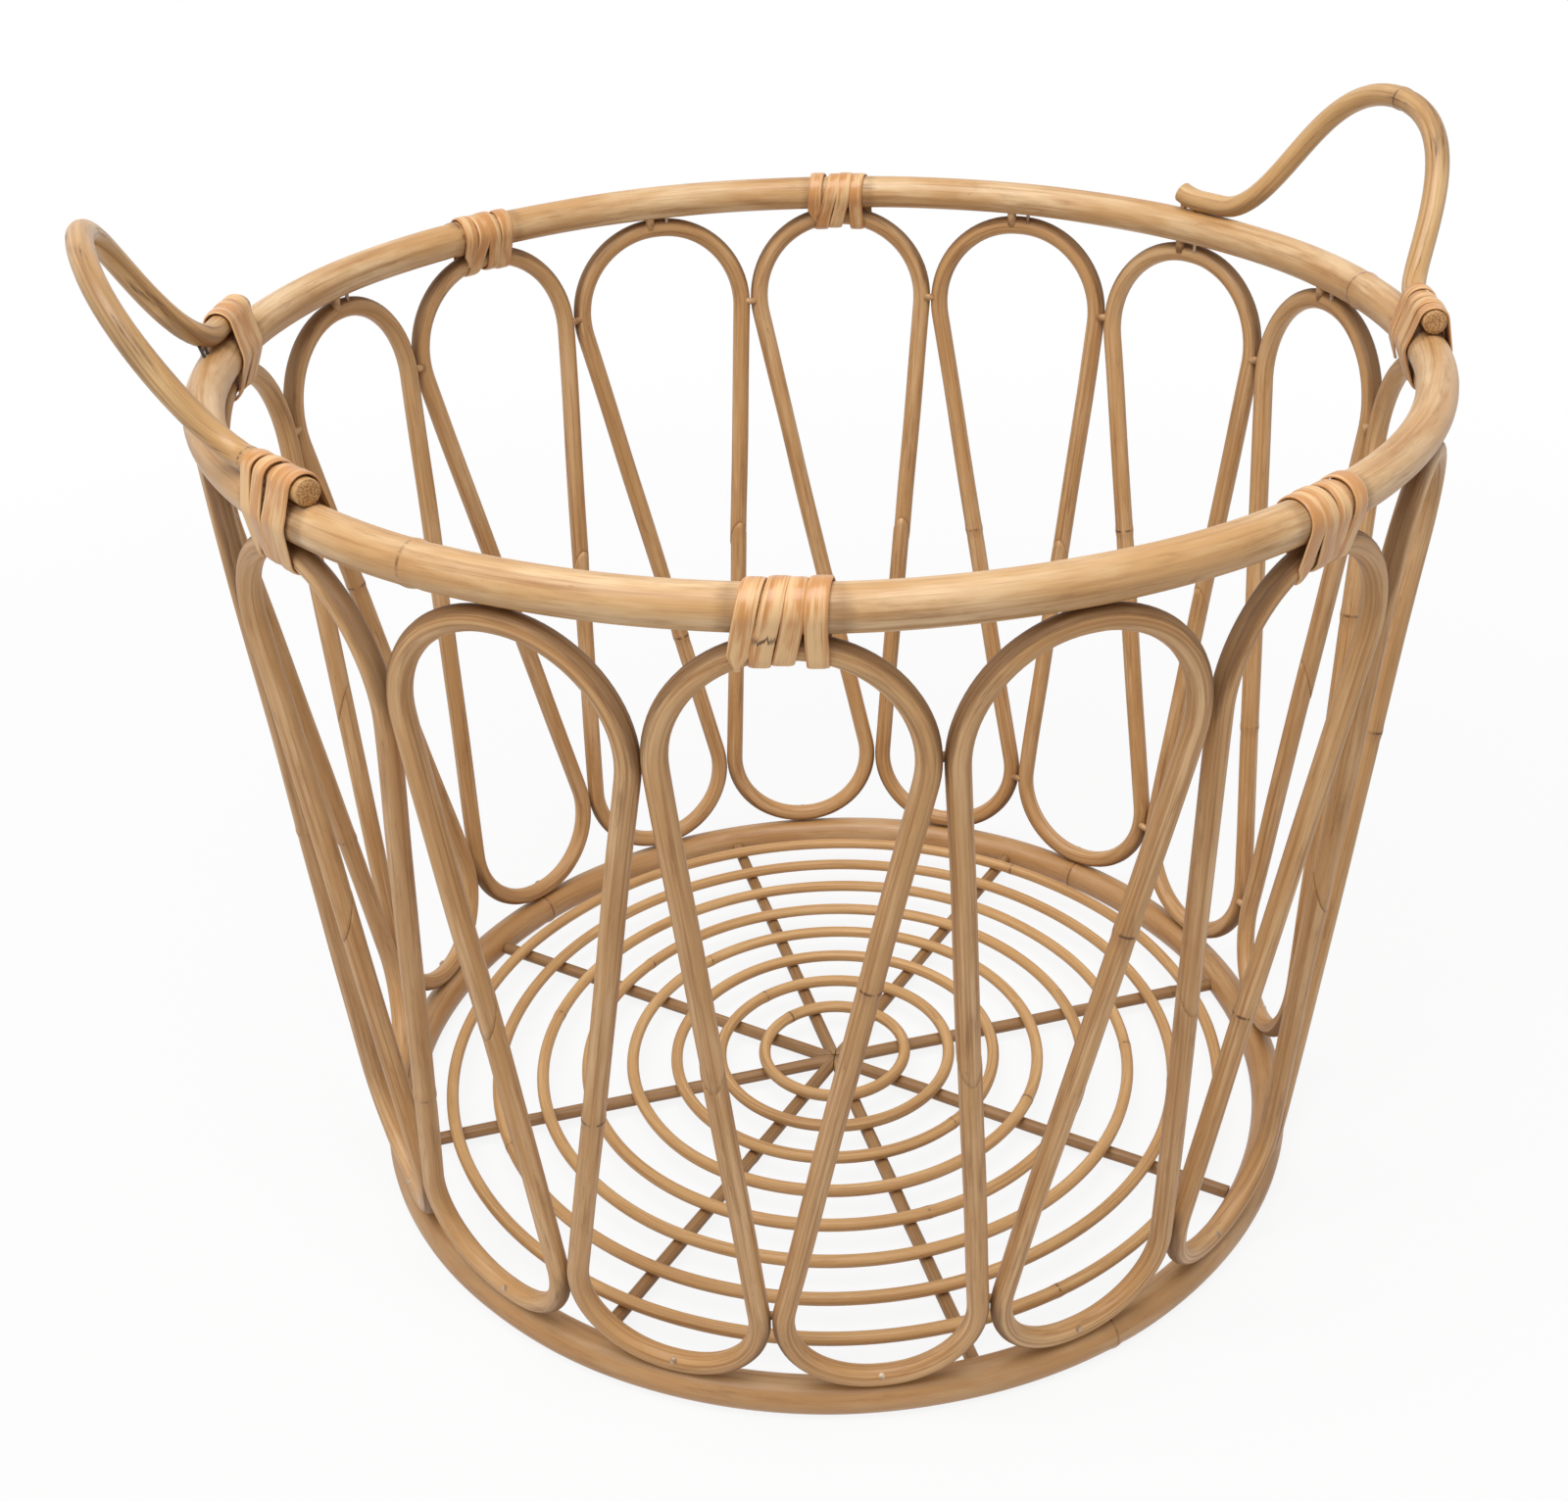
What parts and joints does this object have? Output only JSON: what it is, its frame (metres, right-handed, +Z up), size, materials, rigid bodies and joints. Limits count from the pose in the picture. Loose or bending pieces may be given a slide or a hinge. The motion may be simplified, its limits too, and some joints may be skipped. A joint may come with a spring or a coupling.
{
  "type": "laundry basket",
  "caption": "Round open rattan laundry basket: arched rod wall between pole hoops, ringed floor, bow handles on opposite sides of the rim, peel lashings.",
  "frame": {"origin": "centre of the basket's axis on the floor that it stands on", "axes": "+Z up along the basket's axis, +X from the axis to the right handle"},
  "size_m": [0.5684, 0.5162, 0.4733],
  "materials": {
    "hoop_rattan": "satin",
    "wall_rattan": "satin",
    "spoke_rattan": "satin",
    "ring_rattan": "satin",
    "handle_rattan": "satin",
    "peel": "glossy"
  },
  "bodies": {
    "root": {"top_hoop": "hoop_rattan", "bottom_hoop": "hoop_rattan", "wall_rod_01": "wall_rattan", "wall_rod_02": "wall_rattan", "wall_rod_03": "wall_rattan", "wall_rod_04": "wall_rattan", "wall_rod_05": "wall_rattan", "wall_rod_06": "wall_rattan", "wall_rod_07": "wall_rattan", "wall_rod_08": "wall_rattan", "wall_rod_09": "wall_rattan", "wall_rod_10": "wall_rattan", "wall_rod_11": "wall_rattan", "wall_rod_12": "wall_rattan", "wall_rod_13": "wall_rattan", "wall_rod_14": "wall_rattan", "wall_rod_15": "wall_rattan", "wall_rod_16": "wall_rattan", "floor_spoke_1": "spoke_rattan", "floor_spoke_2": "spoke_rattan", "floor_spoke_3": "spoke_rattan", "floor_spoke_4": "spoke_rattan", "floor_spoke_5": "spoke_rattan", "floor_spoke_6": "spoke_rattan", "floor_spoke_7": "spoke_rattan", "floor_spoke_8": "spoke_rattan", "floor_ring_1": "ring_rattan", "floor_ring_2": "ring_rattan", "floor_ring_3": "ring_rattan", "floor_ring_4": "ring_rattan", "floor_ring_5": "ring_rattan", "floor_ring_6": "ring_rattan", "floor_ring_7": "ring_rattan", "floor_ring_8": "ring_rattan", "handle_right": "handle_rattan", "handle_left": "handle_rattan", "lashing_back": "peel", "lashing_back_left": "peel", "lashing_front": "peel", "lashing_front_right": "peel", "lashing_foot_left_far": "peel", "lashing_foot_left_near": "peel", "lashing_foot_right_near": "peel"}
  },
  "joints": []
}
